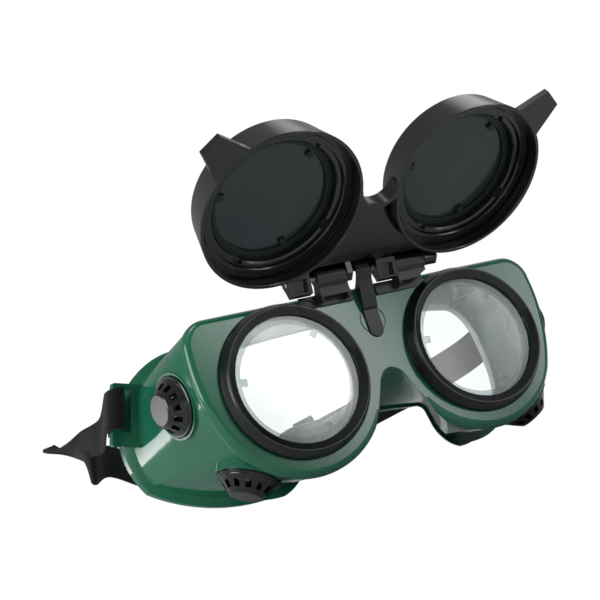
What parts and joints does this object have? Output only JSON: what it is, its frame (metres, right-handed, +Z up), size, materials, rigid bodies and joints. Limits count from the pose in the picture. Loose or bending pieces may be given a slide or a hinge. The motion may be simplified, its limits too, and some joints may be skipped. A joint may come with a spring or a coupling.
{
  "type": "welding goggles",
  "caption": "Cup goggles with round clear lenses, a hinged flip-up front of dark round filters, slotted side vents and an elastic head strap.",
  "frame": {"origin": "midway between the two lens centres, on the outer surface of the front plate", "axes": "+X towards the viewer's right when seen from the front, +Y backwards towards the wearer's face, +Z up"},
  "size_m": [0.1981, 0.1825, 0.1162],
  "materials": {
    "green_shell": "polished injection moulding",
    "black_plastic": "satin injection moulding",
    "clear_lens": "clear polycarbonate",
    "dark_lens": "dark grey-green welding filter",
    "pale_gasket": "translucent soft plastic",
    "dark_gasket": "matte rubber",
    "soft_edging": "soft pale vinyl",
    "pin_steel": "bright drawn wire",
    "strap_elastic": "ribbed woven elastic"
  },
  "bodies": {
    "frame": {"clear_lens_left": "clear_lens", "clear_lens_right": "clear_lens", "detent_clip": "black_plastic", "face_seal": "soft_edging", "goggle_body": "green_shell", "hinge_block_left": "black_plastic", "hinge_block_right": "black_plastic", "lens_gasket_left": "pale_gasket", "lens_gasket_right": "pale_gasket", "strap": "strap_elastic", "vent_baffle_lower_left": "black_plastic", "vent_baffle_lower_right": "black_plastic", "vent_baffle_temple_left": "black_plastic", "vent_baffle_temple_right": "black_plastic", "vent_cap_lower_left": "black_plastic", "vent_cap_lower_right": "black_plastic", "vent_cap_temple_left": "black_plastic", "vent_cap_temple_right": "black_plastic"},
    "flip": {"cover_lens_left": "clear_lens", "cover_lens_right": "clear_lens", "filter_gasket_left": "dark_gasket", "filter_gasket_right": "dark_gasket", "filter_lens_left": "dark_lens", "filter_lens_right": "dark_lens", "flip_frame": "black_plastic", "hinge_pin_left": "pin_steel", "hinge_pin_right": "pin_steel"},
    "slider": {"strap_slider": "black_plastic"},
    "lens_ring_left": {"lens_ring_left": "black_plastic"},
    "lens_ring_right": {"lens_ring_right": "black_plastic"},
    "filter_ring_left": {"filter_ring_left": "black_plastic"},
    "filter_ring_right": {"filter_ring_right": "black_plastic"}
  },
  "joints": [
    {"name": "flip_hinge", "type": "hinge", "parent": "frame", "child": "flip", "pos_m": [0, -0.0039, 0.0347], "axis": [1, 0, 0], "range_deg": [0, 124.4]},
    {"name": "slider_travel", "type": "slide", "parent": "frame", "child": "slider", "axis": [0.9603, -0.1972, 0.1972], "range_m": [-0.02, 0.02]},
    {"name": "lens_ring_left_turn", "type": "hinge", "parent": "frame", "child": "lens_ring_left", "pos_m": [-0.0391, -0.003, 0], "axis": [0, -1, 0], "continuous": true},
    {"name": "filter_ring_left_turn", "type": "hinge", "parent": "flip", "child": "filter_ring_left", "pos_m": [-0.0393, -0.03021, 0.05769], "axis": [0, -0.565, -0.8251], "continuous": true},
    {"name": "lens_ring_right_turn", "type": "hinge", "parent": "frame", "child": "lens_ring_right", "pos_m": [0.0391, -0.003, 0], "axis": [0, -1, 0], "continuous": true},
    {"name": "filter_ring_right_turn", "type": "hinge", "parent": "flip", "child": "filter_ring_right", "pos_m": [0.0393, -0.03021, 0.05769], "axis": [0, -0.565, -0.8251], "continuous": true}
  ]
}
